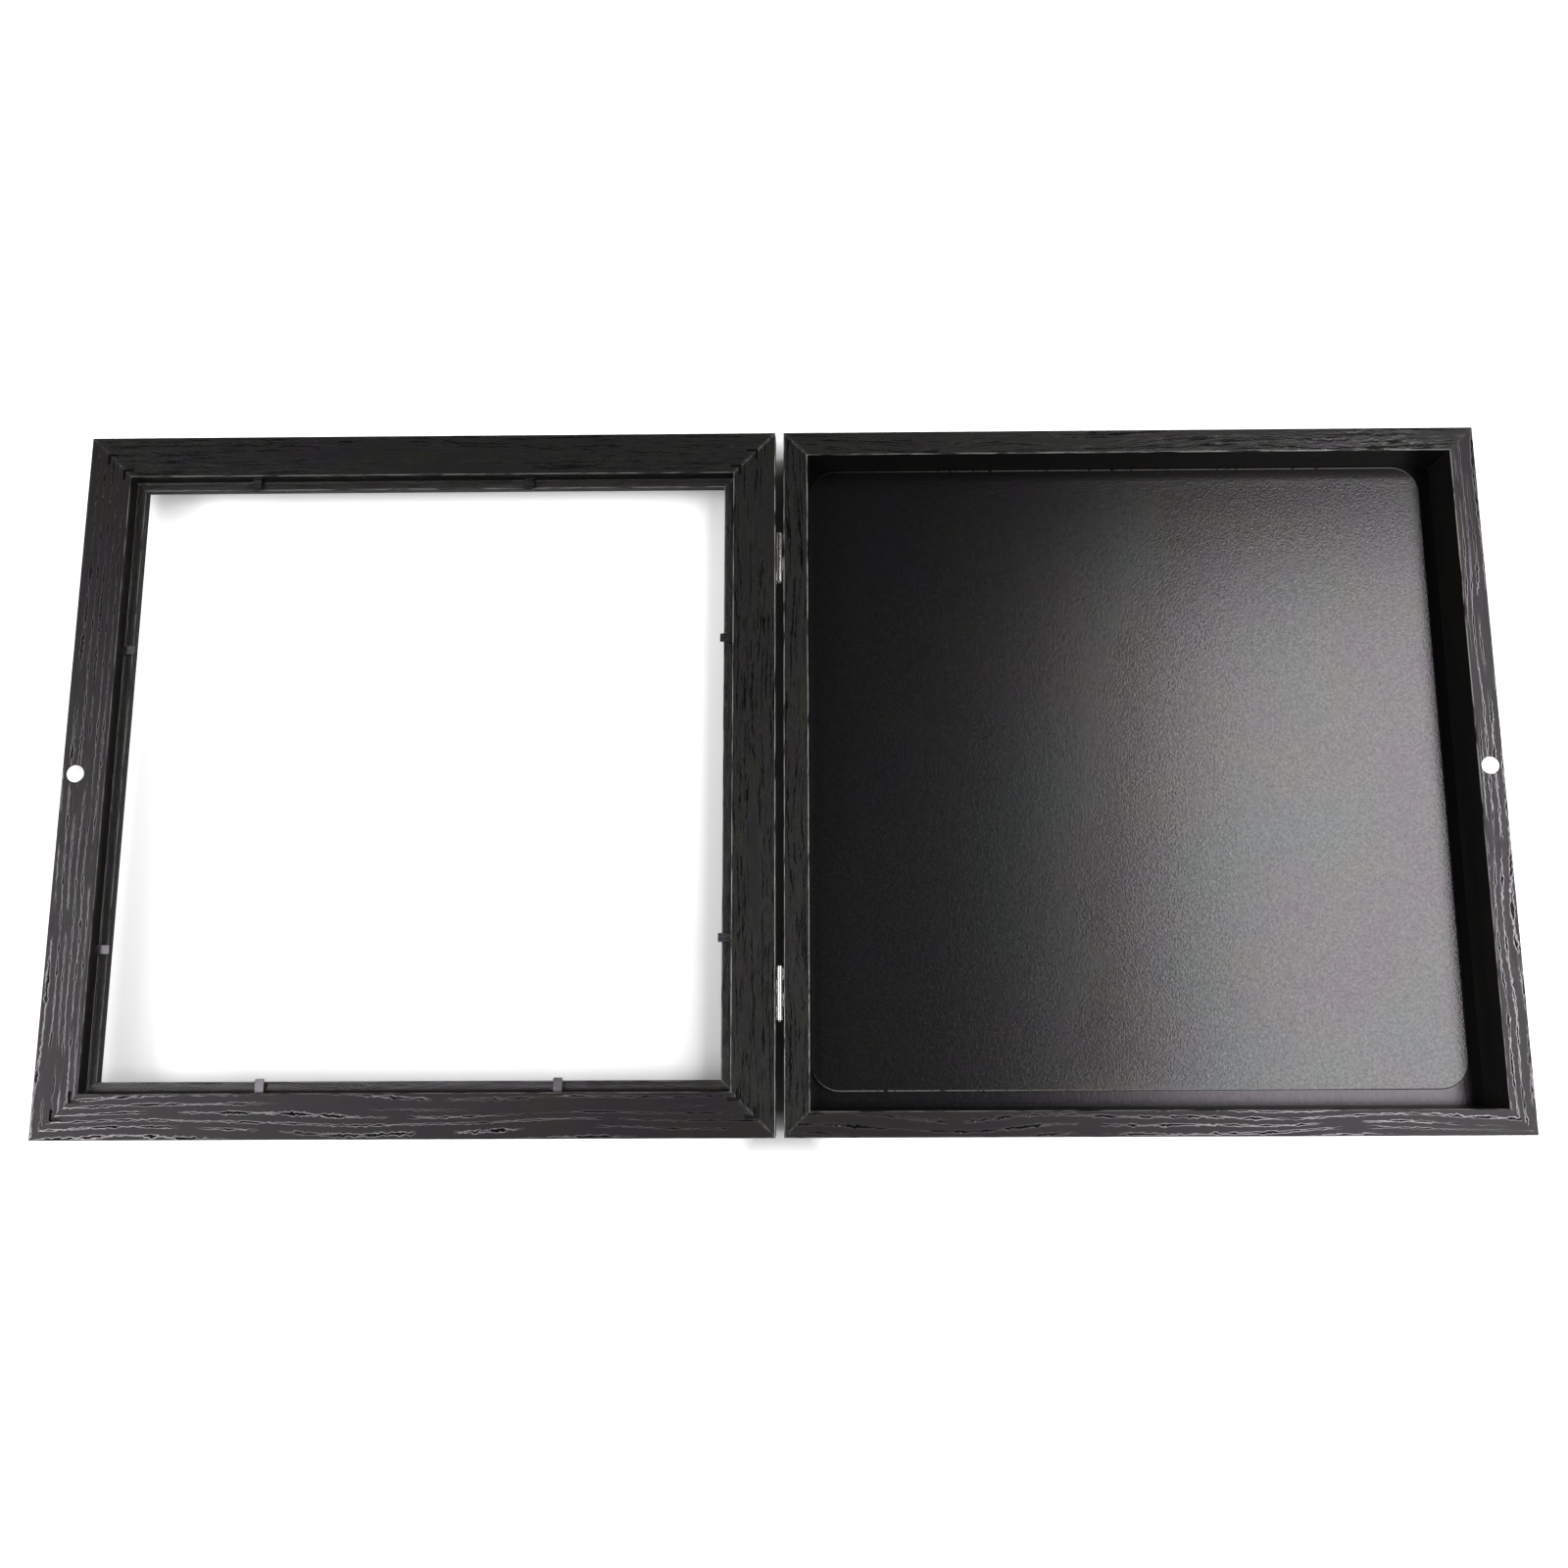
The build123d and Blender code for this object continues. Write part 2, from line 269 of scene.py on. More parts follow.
class Finish:
    """A material whose nodes are added one by one. Each call gives back the socket it makes."""

    def __init__(self, name):
        self.material = bpy.data.materials.new(name)
        self.material.use_nodes = True
        self.tree = self.material.node_tree
        self.tree.nodes.clear()
        self.surface = self.tree.nodes.new("ShaderNodeBsdfPrincipled")
        self.out = self.tree.nodes.new("ShaderNodeOutputMaterial")
        self.tree.links.new(self.surface.outputs[0], self.out.inputs["Surface"])

    def add(self, kind, inputs=None, **settings):
        return shader_node(self.tree, kind, inputs, **settings)

    def place(self):
        return self.add("ShaderNodeTexCoord").outputs["Object"]

    def uv(self, name):
        return self.add("ShaderNodeUVMap", uv_map=name).outputs["UV"]

    def painted(self, name):
        return self.add("ShaderNodeAttribute", attribute_name=name).outputs["Fac"]

    def stretched(self, vector, scale):
        return self.add("ShaderNodeMapping", {"Vector": vector, "Scale": scale}).outputs[0]

    def noise(self, vector, scale=1.0, detail=2.0, roughness=0.5):
        values = {"Vector": vector, "Scale": scale, "Detail": detail, "Roughness": roughness}
        return self.add("ShaderNodeTexNoise", values).outputs["Fac"]

    def cells(self, vector, scale, feature):
        values = {"Vector": vector, "Scale": scale, "Randomness": 1.0}
        return self.add("ShaderNodeTexVoronoi", values, feature=feature).outputs["Distance"]

    def calc(self, operation, a, b=0.0):
        return self.add("ShaderNodeMath", {0: a, 1: b}, operation=operation).outputs[0]

    def ramp(self, value, low, high, start=0.0, end=1.0):
        values = {"Value": value, "From Min": low, "From Max": high, "To Min": start, "To Max": end}
        return self.add("ShaderNodeMapRange", values).outputs[0]

    def mixed(self, factor, a, b):
        return self.add("ShaderNodeMix", {0: factor, 2: a, 3: b}, data_type="FLOAT").outputs[0]

    def blend(self, factor, a, b):
        return self.add("ShaderNodeMix", {0: factor, 6: a, 7: b}, data_type="RGBA").outputs[2]

    def bump(self, height, distance, strength=1.0):
        values = {"Height": height, "Distance": distance, "Strength": strength}
        return self.add("ShaderNodeBump", values).outputs[0]

    def set(self, **values):
        for key, value in values.items():
            socket = self.surface.inputs[key.replace("_", " ")]
            if isinstance(value, bpy.types.NodeSocket):
                self.tree.links.new(value, socket)
            else:
                socket.default_value = value
        return self.material


def black_oak(name, meander, ring_spacing, pore_depth):
    """Black satin moulding with oak's pores. Its map, in metres, runs along the rail in U, round it in V."""
    oak = Finish(name)
    grain = oak.uv("grain")
    # The rings wander with a slow drift and a fine shake. A stretch gives features a metre, along and round
    along, round_rail = oak.add("ShaderNodeSeparateXYZ", {0: grain}).outputs[:2]
    drift = oak.noise(oak.stretched(grain, (8, 24, 1)), detail=1.0)
    jitter = oak.noise(oak.stretched(grain, (340, 380, 1)), detail=2.0)
    shift = oak.calc("MULTIPLY", oak.calc("SUBTRACT", drift, 0.5), meander)
    shake = oak.calc("MULTIPLY", oak.calc("SUBTRACT", jitter, 0.5), 2.1 * mm)
    across = oak.calc("ADD", round_rail, oak.calc("ADD", shift, shake))

    # Each year's ring is a row of pores, drawn as a braid: two lips that part and meet round a dark hollow
    uneven = oak.calc("MULTIPLY", oak.noise(oak.stretched(grain, (4, 60, 1)), detail=1.0), 1.8)
    counted = oak.calc("ADD", oak.calc("DIVIDE", across, ring_spacing), uneven)
    ring = oak.calc("FLOOR", counted)
    off = oak.calc("MULTIPLY", oak.calc("SUBTRACT", oak.calc("SUBTRACT", counted, ring), 0.5), ring_spacing)
    on_ring = oak.add("ShaderNodeCombineXYZ", {0: along, 1: oak.calc("MULTIPLY", ring, 3.7)}).outputs[0]
    parting = oak.noise(oak.stretched(on_ring, (90, 1, 1)), detail=1.0)
    parted = oak.ramp(parting, 0.38, 0.62, 0.05 * mm, 0.7 * mm)
    kept = oak.ramp(oak.noise(oak.stretched(on_ring, (28, 1, 1)), detail=3.0), 0.38, 0.46)
    side = oak.calc("SUBTRACT", oak.calc("ABSOLUTE", off), parted)
    lip = oak.ramp(oak.calc("ABSOLUTE", side), 0.13 * mm, 0.38 * mm, 1.0, 0.0)
    braid = oak.calc("MULTIPLY", lip, kept)
    hollow = oak.calc("MULTIPLY", oak.ramp(side, -0.36 * mm, -0.14 * mm, 0.95, 0.0), kept)

    # Close-grained wood has short fine pores all over instead
    wandering = oak.add("ShaderNodeCombineXYZ", {0: along, 1: across}).outputs[0]
    long_pores = oak.noise(oak.stretched(wandering, (17, 900, 1)), detail=1.0)
    short_pores = oak.noise(oak.stretched(wandering, (70, 1500, 1)), detail=1.0)
    field = oak.calc("ADD", oak.calc("MULTIPLY", long_pores, 0.55), oak.calc("MULTIPLY", short_pores, 0.45))
    pits = oak.ramp(field, 0.530, 0.575, 0.0, 0.95)
    beside = oak.calc("ABSOLUTE", oak.calc("SUBTRACT", field, 0.490))
    crests = oak.ramp(beside, 0.006, 0.030, 1.0, 0.0)

    # Pores and lips fade out in bands, and on the faces that the paint fills
    bands = oak.noise(oak.stretched(wandering, (7, 90, 1)), detail=1.0)
    opening = oak.calc("MULTIPLY", oak.ramp(bands, 0.33, 0.45), oak.painted("open_pored"))
    close = oak.painted("close_grained")
    pores = oak.calc("MULTIPLY", oak.mixed(close, hollow, pits), opening)
    lips = oak.calc("MULTIPLY", oak.mixed(close, braid, crests), opening)

    # The ground turns from greenish to purplish, and the arrises are painted pale: partly scuffed paint,
    # partly painted highlight
    tone = oak.noise(oak.stretched(grain, (30, 60, 1)), detail=3.0)
    cast = oak.ramp(tone, 0.42, 0.58)
    ground = oak.blend(cast, (0.0105, 0.0102, 0.0080, 1), (0.0095, 0.0084, 0.0098, 1))
    wood = oak.blend(pores, ground, (0.0020, 0.0019, 0.0019, 1))
    spotty_scuff_and_highlight = oak.noise(oak.stretched(grain, (60, 900, 1)), detail=4.0)
    scuff_and_highlight = oak.calc("MULTIPLY", oak.ramp(spotty_scuff_and_highlight, 0.42, 0.54), oak.painted("scuff_and_highlight"))
    skin = oak.noise(oak.stretched(grain, (900, 900, 1)), detail=2.0)
    height = oak.calc("ADD", oak.calc("MULTIPLY", pores, -1.0), oak.calc("MULTIPLY", skin, 0.06))
    polish = oak.calc("SUBTRACT", oak.ramp(lips, 0.0, 1.0, 0.182, 0.76), oak.calc("MULTIPLY", pores, 0.16))
    open_air = oak.ramp(oak.painted("open_pored"), 0.40, 0.90, 0.30, 1.0)
    purple = oak.ramp(oak.calc("SUBTRACT", cast, close), -1.0, 0.6)
    return oak.set(
        Base_Color=oak.blend(scuff_and_highlight, wood, (0.30, 0.29, 0.27, 1)),
        Roughness=oak.ramp(lips, 0.0, 1.0, 0.42, 0.22),
        IOR=1.8,
        Specular_IOR_Level=oak.calc("MULTIPLY", polish, open_air),
        Specular_Tint=oak.blend(purple, (0.98, 1.0, 0.94, 1), (1.0, 0.91, 1.0, 1)),
        Normal=oak.bump(height, pore_depth),
    )


def leatherette():
    """Fine pebbled black covering of the display board. Its cut edge is painted pale in spots, partly
    scuffing and partly painted highlight, and darkened by painted shade, a lower shine, where its mark is
    below zero.
    """
    cover = Finish("pebbled_leatherette")
    place = cover.place()
    pebbles = cover.cells(place, 1050, "SMOOTH_F1")
    creases = cover.noise(place, 1500, 3.0, 0.6)
    mottling = cover.noise(place, 620, 3.0, 0.75)
    cast = cover.ramp(cover.noise(place, 24, 4.0, 0.6), 0.38, 0.62)
    clouds = cover.ramp(cover.noise(place, 11, 2.0), 0.50, 0.68)
    height = cover.calc("ADD", pebbles, cover.calc("MULTIPLY", creases, 0.8))
    # Edge mark: above zero a spotty pale painted highlight with some scuffing; below zero painted shade that
    # takes the shine away
    edge = cover.painted("edge_highlight_and_shade")
    spotty_scuff_and_highlight = cover.calc("MULTIPLY", cover.ramp(cover.noise(place, 420, 3.0), 0.32, 0.44), edge)
    # Painted shade: the dark part of the edge mark
    pressed = cover.ramp(edge, -0.65, -0.15, 1.0, 0.0)
    tone = cover.blend(cast, (0.0024, 0.0024, 0.0019, 1), (0.0022, 0.0020, 0.0026, 1))
    polish = cover.ramp(mottling, 0.30, 0.70, 0.60, 1.0)
    tint = cover.blend(cast, (1.0, 0.955, 0.94, 1), (0.99, 0.91, 0.99, 1))
    return cover.set(
        Base_Color=cover.blend(spotty_scuff_and_highlight, tone, (0.34, 0.33, 0.30, 1)),
        Roughness=cover.ramp(creases, 0.3, 0.7, 0.17, 0.27),
        Specular_IOR_Level=cover.mixed(pressed, polish, 0.12),
        Specular_Tint=cover.blend(clouds, tint, (0.93, 0.975, 0.98, 1)),
        Normal=cover.bump(height, 0.047 * mm),
    )


def painted_hardboard():
    """Back panel: smooth black face with the faint fibres of pressed board under the paint."""
    board = Finish("painted_hardboard")
    place = board.place()
    fibres = board.noise(board.stretched(place, (900, 260, 900)), 1.0, 4.0, 0.6)
    cloud = board.noise(place, 9, 2.0)
    return board.set(
        Base_Color=board.blend(cloud, (0.0026, 0.0024, 0.0030, 1), (0.0034, 0.0031, 0.0037, 1)),
        Roughness=board.ramp(fibres, 0.3, 0.7, 0.20, 0.27),
        Specular_IOR_Level=0.66,
        Specular_Tint=(1.0, 0.93, 1.0, 1),
        Normal=board.bump(fibres, 0.05 * mm),
    )


def black_core_board():
    core = Finish("black_core_board")
    place = core.place()
    plies = core.noise(core.stretched(place, (120, 120, 2600)), 1.0, 3.0)
    fibres = core.noise(place, 1500, 3.0)
    return core.set(
        Base_Color=core.blend(plies, (0.050, 0.048, 0.046, 1), (0.072, 0.069, 0.066, 1)),
        Roughness=0.9,
        Normal=core.bump(fibres, 0.06 * mm),
    )


def clear_acrylic():
    """Clear sheet. Lamps shine through it, so that the floor below stays lit."""
    sheet = Finish("clear_acrylic")
    place = sheet.place()
    smudges = sheet.noise(place, 26, 3.0, 0.6)
    ripple = sheet.noise(place, 9, 1.0)
    sheet.set(
        Base_Color=(0.990, 0.990, 0.990, 1),
        Roughness=sheet.ramp(smudges, 0.4, 0.75, 0.0, 0.035),
        IOR=1.12,
        Transmission_Weight=1.0,
        Normal=sheet.bump(ripple, 0.02 * mm, 0.3),
    )
    path = sheet.add("ShaderNodeLightPath").outputs
    open_way = sheet.calc("MAXIMUM", path["Is Shadow Ray"], path["Is Diffuse Ray"])
    clear = sheet.add("ShaderNodeBsdfTransparent", {"Color": (0.94, 0.94, 0.94, 1)})
    mix = sheet.add("ShaderNodeMixShader", {0: open_way, 1: sheet.surface.outputs[0], 2: clear.outputs[0]})
    sheet.tree.links.new(mix.outputs[0], sheet.out.inputs["Surface"])
    return sheet.material


def plated_metal(name, colour, roughness, brushed=(300, 300, 300), relief=0.012, stained=0.28):
    """Metal with fine drawing marks and slightly uneven polish."""
    metal = Finish(name)
    place = metal.place()
    marks = metal.noise(metal.stretched(place, brushed), 1.0, 4.0, 0.6)
    stains = metal.noise(place, 180, 3.0)
    dull = tuple((1 - stained) * level for level in colour)
    return metal.set(
        Base_Color=metal.blend(metal.ramp(stains, 0.45, 0.8), (*colour, 1), (*dull, 1)),
        Metallic=1.0,
        Roughness=metal.ramp(marks, 0.3, 0.7, 0.7 * roughness, 1.35 * roughness),
        Normal=metal.bump(marks, relief * mm),
    )


def moulded_rubber():
    rubber = Finish("moulded_rubber")
    grain = rubber.noise(rubber.place(), 2400, 2.0)
    return rubber.set(
        Base_Color=rubber.blend(grain, (0.016, 0.016, 0.016, 1), (0.03, 0.03, 0.03, 1)),
        Roughness=0.75,
        Normal=rubber.bump(grain, 0.05 * mm),
    )


door_oak = black_oak("door_oak", 9 * mm, 4.5 * mm, 0.12 * mm)
case_oak = black_oak("case_oak", 16 * mm, 4.0 * mm, 0.12 * mm)
leather = leatherette()
hardboard = painted_hardboard()
core_board = black_core_board()
acrylic = clear_acrylic()
nickel = plated_metal("nickel_plate", (0.84, 0.82, 0.78), 0.13, stained=0.2)
magnet_plate = plated_metal("magnet_plate", (0.92, 0.91, 0.88), 0.46, relief=0.004, stained=0.05)
nail_steel = plated_metal("v_nail_steel", (0.045, 0.044, 0.042), 0.46)
point_steel = plated_metal("blackened_steel", (0.15, 0.14, 0.155), 0.30, (150, 900, 300))
hanger_brass = plated_metal("hanger_brass", (0.80, 0.60, 0.30), 0.26, (60, 1400, 600))
rubber = moulded_rubber()


# Mitred rails: a section is carried from mitre to mitre, and each of its points stops on the mitre

def rail_section(corners):
    """Rounds a section's corners. A row is a point (distance in, height), its way out, its pale arris mark
    (scuffed paint and painted highlight) and pores.
    """
    round_steps = 4
    guard = 0.5 * mm
    rows = []
    count = len(corners)
    for number, (inset, height, radius, pored) in enumerate(corners):
        corner = Vector((inset, height))
        before = (Vector(corners[number - 1][:2]) - corner).normalized()
        after = (Vector(corners[(number + 1) % count][:2]) - corner).normalized()
        pored_before = corners[number - 1][3]
        centre = corner + (before + after) * radius
        hollow = before.cross(after) > 0
        steps = round_steps if radius else 0
        rows.append((corner + before * (radius + guard), -after, 0.0, pored_before))
        for step in range(steps + 1):
            share = step / steps if steps else 0.5
            out = (-after * cos(share * pi / 2) - before * sin(share * pi / 2)).normalized()
            point = centre + out * radius if radius else corner
            # Convex arrises get the pale mark: partly scuffed paint, partly painted highlight
            scuff_and_highlight = 0.0 if hollow else sin(share * pi) if steps else 0.0
            rows.append((point, out, scuff_and_highlight, pored_before if share < 0.5 else pored))
        rows.append((corner + after * (radius + guard), -before, 0.0, pored))
    return rows


def mitred_rail(name, side, centre, corners, seed, close_grain, arris_scuff_and_highlight_gain, chipping):
    """Rail with a fine chamfer at its mitres, its grain map, and the pale mark of its arrises, partly
    scuffed paint and partly painted highlight, and of its chipped mitres, painted in.
    """
    rows = rail_section(corners)
    rounds = [0.0]
    for row, following in zip(rows, rows[1:] + rows[:1]):
        rounds.append(rounds[-1] + (following[0] - row[0]).length)
    random.seed(seed)
    start = Vector((random.uniform(0, 3), random.uniform(0, 3)))
    steps = 40
    chamfer = 0.14 * mm
    shape = bmesh.new()
    grain = shape.loops.layers.uv.new("grain")
    # Layer of the pale mark: scuffed paint and painted highlight on the arrises, chips at the mitres
    scuff_and_highlight = shape.loops.layers.float.new("scuff_and_highlight")
    pored = shape.loops.layers.float.new("open_pored")
    closed = shape.loops.layers.float.new("close_grained")
    rings = []
    # A station: its share of half the rail's length, its distance back from the mitre, and how chipped it is
    ends = [(0, chipping), (chamfer, chipping), (0.4 * mm, chipping / 2), (2.0 * mm, 0.0)]
    stations = [(-1, back, chips) for back, chips in ends]
    stations += [(number / steps * 2 - 1, 0, 0.0) for number in range(1, steps)]
    stations += [(1, back, chips) for back, chips in reversed(ends)]
    for share, back, chips in stations:
        at_end = abs(share) == 1 and back == 0
        ring = []
        for point, out, arris_scuff_and_highlight, pores in rows:
            inset, height = point - out * chamfer if at_end else point
            reach = half_side - inset
            vertex = shape.verts.new((share * (reach - back), reach, height))
            ring.append((vertex, max(arris_scuff_and_highlight_gain * arris_scuff_and_highlight, chips), pores))
        rings.append(ring)
    count = len(rows)
    for ring, following in zip(rings, rings[1:]):
        for number in range(count):
            beside = (number + 1) % count
            spots = [ring[number], ring[beside], following[beside], following[number]]
            face = shape.faces.new([vertex for vertex, arris_scuff_and_highlight, pores in spots])
            for loop, spot, round_number in zip(face.loops, spots, (number, number + 1, number + 1, number)):
                loop[grain].uv = (loop.vert.co.x + start.x, rounds[round_number] + start.y)
                loop[scuff_and_highlight], loop[pored], loop[closed] = spot[1], spot[2], close_grain
    shape.faces.new([vertex for vertex, arris_scuff_and_highlight, pores in rings[0]])
    shape.faces.new([vertex for vertex, arris_scuff_and_highlight, pores in rings[-1]])
    for face in shape.faces[-2:]:
        for loop in face.loops:
            loop[grain].uv = (loop.vert.co.y, loop.vert.co.z)
    bmesh.ops.recalc_face_normals(shape, faces=shape.faces)
    turn = Matrix.Translation(centre) @ Matrix.Rotation(radians(side_turns[side]), 4, "Z")
    bmesh.ops.transform(shape, matrix=turn, verts=shape.verts)
    return from_bmesh(name, shape, smooth_angle=50)


# The rails' sections: distance in from the outer face, height, radius, and how open the pores are after it
door_corners = [
    (0, door_low.z, arris, 1),
    (door_lip_inset, door_low.z, arris, 0.5),
    (door_lip_inset, pane_low.z, arris, 0.5),
    (door_back_width, pane_low.z, 0, 0.25),
    (door_back_width, rim, arris, 1),
    (0, rim, arris, 1),
]
case_corners = [
    (0, case_low.z, arris, 0.3),
    (panel_wall_inset, case_low.z, arris, 0.1),
    (panel_wall_inset, panel_high.z, 0, 0.1),
    (case_rail_width, panel_high.z, 0, 0.15),
    (case_rail_width, rim, arris, 1),
    (0, rim, arris, 1),
]


def corner_marks(centre, insets):
    """The four corners at each inset, with the turn that carries the top right corner to each."""
    marks = []
    for quarter in range(4):
        for inset in insets:
            apex = Vector((half_side - inset, half_side - inset, 0))
            apex.rotate(Euler((0, 0, quarter * pi / 2)))
            marks.append((centre + apex, quarter * 90))
    return marks


def chevron(name, sheet, low, high, softening=0.0, ragged=0.0):
    """V nail at a top right corner, its apex at the origin and its legs running back along the rails."""
    leg = nail_leg
    half = sheet / 2
    ragged_pitch = 0.5 * mm
    corners = [(half, half), (-leg, half), (-leg, -half), (-half, -half), (-half, -leg), (half, -leg)]
    outline = corners
    if ragged:
        random.seed(5)
        outline = []
        for start, end in zip(corners, corners[1:] + corners[:1]):
            pieces = max(1, round((Vector(end) - Vector(start)).length / ragged_pitch))
            for number in range(pieces):
                spot = Vector(start).lerp(Vector(end), number / pieces)
                across = random.uniform(-ragged, ragged)
                outline.append((spot.x + across, spot.y + random.uniform(-ragged, ragged)))
    return raised(name, outline, low, high, softening)


def point_tab(name, low, high):
    """Flat point lying along -Y from the origin, its free end rounded, its other end inside the rail."""
    round_end = 0.6 * mm
    round_steps = 4
    outline = [(-point_width / 2, 0), (point_width / 2, 0)]
    for side in (1, -1):
        for step in range(round_steps + 1):
            turned_by = step / round_steps * pi / 2
            angle = turned_by if side > 0 else pi / 2 + turned_by
            x = side * (point_width / 2 - round_end) + round_end * cos(angle)
            outline.append((x, -(point_length - round_end) - round_end * sin(angle)))
    return raised(name, outline, low, high, point_softening, segments=1)


def round_plug(name, place, radius, low, high):
    shape = bmesh.new()
    middle = Matrix.Translation((place.x, place.y, (low + high) / 2))
    bmesh.ops.create_cone(
        shape, cap_ends=True, segments=48, radius1=radius, radius2=radius, depth=high - low, matrix=middle
    )
    return from_bmesh(name, shape)


def on_side(side, across, inward):
    """A place on a rail, about its half's centre: across from its middle, inward from its outer face."""
    place = Vector((across, half_side - inward, 0))
    place.rotate(Euler((0, 0, radians(side_turns[side]))))
    return place


# V nails and their slots, cut by a cutter that stands proud of the rail
nail_sheet = 0.6 * mm
nail_leg = 5.5 * mm
nail_height = 8 * mm
nail_recess = 0.9 * mm
nail_softening = 0.06 * mm
slot_room = 0.52 * mm
slot_raggedness = 0.24 * mm
slot_depth = 1.6 * mm
cutter_rise = 1 * mm
door_nail_insets = (11 * mm, 20.5 * mm)
case_nail_insets = (4 * mm,)
door_nail_marks = corner_marks(door_centre, door_nail_insets)
case_nail_marks = corner_marks(case_centre, case_nail_insets)
slot_sheet = nail_sheet + 2 * slot_room
door_slot = chevron("door_slot", slot_sheet, rim - slot_depth, rim + cutter_rise, 0, slot_raggedness)
case_slot = chevron(
    "case_slot", slot_sheet, case_low.z - cutter_rise, case_low.z + slot_depth, 0, slot_raggedness
)
door_slots = set_out("door_slots", door_slot, door_nail_marks, nail_steel)
case_slots = set_out("case_slots", case_slot, case_nail_marks, nail_steel)
door_nail_top = rim - nail_recess
case_nail_foot = case_low.z + nail_recess
door_nail = chevron("door_nail", nail_sheet, door_nail_top - nail_height, door_nail_top, nail_softening)
case_nail = chevron("case_nail", nail_sheet, case_nail_foot, case_nail_foot + nail_height, nail_softening)
door_nails = set_out("door_corner_nails", door_nail, door_nail_marks, nail_steel)
case_nails = set_out("case_corner_nails", case_nail, case_nail_marks, nail_steel)
finished(door_nails, "door", "v_nails", nail_steel, "door_v_nails")
finished(case_nails, "case", "v_nails", nail_steel, "case_v_nails")

# Flat points over the pane and behind the back panel. Their places are millimetres from the middle of a rail
pane_point_places = {"top": (-104, 56), "left": (-98, 73), "bottom": (-82, 80), "right": (-78, 93)}
panel_point_places = {side: (-110, 110) for side in side_turns}
point_length = 15.5 * mm
point_width = 5 * mm
point_sheet = 0.5 * mm
point_softening = 0.12 * mm
pane_point_in_rail = 8 * mm
panel_point_in_rail = 6.5 * mm


def point_marks(places, centre, wall_inset, in_rail):
    marks = []
    for side, offsets in places.items():
        for offset in offsets:
            place = on_side(side, offset * mm, wall_inset - in_rail)
            marks.append((centre + place, side_turns[side]))
    return marks


pane_marks = point_marks(pane_point_places, door_centre, door_back_width, pane_point_in_rail)
panel_marks = point_marks(panel_point_places, case_centre, panel_wall_inset, panel_point_in_rail)
pane_tab = point_tab("pane_tab", pane_high.z, pane_high.z + point_sheet)
panel_tab = point_tab("panel_tab", panel_low.z - point_sheet, panel_low.z)
pane_tabs = set_out("pane_tabs", pane_tab, pane_marks, point_steel)
panel_tabs = set_out("panel_tabs", panel_tab, panel_marks, point_steel)
finished(pane_tabs, "door", "points", point_steel, "pane_points")
finished(panel_tabs, "case", "points", point_steel, "panel_points")

# Magnets in their holes
magnet_radius = 5 * mm
magnet_hole_depth = 3.1 * mm
magnet_room = 0.12 * mm
magnet_inward = 7.5 * mm
magnet_places = {
    "door": on_side("left", 0, magnet_inward) + door_centre,
    "case": on_side("right", 0, magnet_inward) + case_centre,
}
magnet_holes = {
    half: round_plug(
        half + "_magnet_hole", place, magnet_radius + magnet_room, rim - magnet_hole_depth, rim + cutter_rise
    )
    for half, place in magnet_places.items()
}

# The eight rails, with how close the grain of each is, how strongly its arrises are painted pale (scuffed
# paint and painted highlight) and how chipped its mitres
door_looks = {
    "top": (0.8, 0.6, 0.2),
    "bottom": (0.0, 0.6, 0.15),
    "hinge_side": (1.0, 1.5, 0.5),
    "magnet_side": (0.1, 0.5, 0.1),
}
case_looks = {
    "top": (0.85, 1.0, 0.2),
    "bottom": (0.0, 0.7, 0.15),
    "hinge_side": (1.0, 1.7, 0.4),
    "magnet_side": (0.1, 1.6, 0.1),
}


def make_rails(half, rails, centre, corners, first_seed, looks, slots, finish):
    """The four rails of one half. Its slots are cut out of each, and its magnet's hole out of one."""
    for number, (name, side) in enumerate(rails.items()):
        piece_name = half + "_" + name + "_rail"
        rail = mitred_rail(piece_name, side, centre, corners, first_seed + number, *looks[name])
        cut_from(rail, slots)
        if name == "magnet_side":
            cut_from(rail, magnet_holes[half])
        finished(rail, half, half + "_wood", finish, half + "_rail_" + name)


make_rails("door", door_rails, door_centre, door_corners, 11, door_looks, door_slots, door_oak)
make_rails("case", case_rails, case_centre, case_corners, 31, case_looks, case_slots, case_oak)
for spare in (door_slots, case_slots, *magnet_holes.values()):
    bpy.data.objects.remove(spare)


# Hinges: two leaves of bent sheet, whose knuckles curl round the pin in turn
hinge_length = 29 * mm
hinge_distance = 123.5 * mm
knuckle_count = 4
knuckle_pitch = hinge_length / knuckle_count
knuckle_play = 0.15 * mm
leaf_sheet = 0.8 * mm
leaf_middle = 1.9 * mm
leaf_foot = -10.1 * mm
notch_floor = -2.43 * mm
curl_radius = 1.2 * mm
screw_spacing = 18 * mm
screw_drop = -6.2 * mm
axis_height = rim + 0.15 * mm
flip = Matrix.Rotation(pi, 4, "Z")


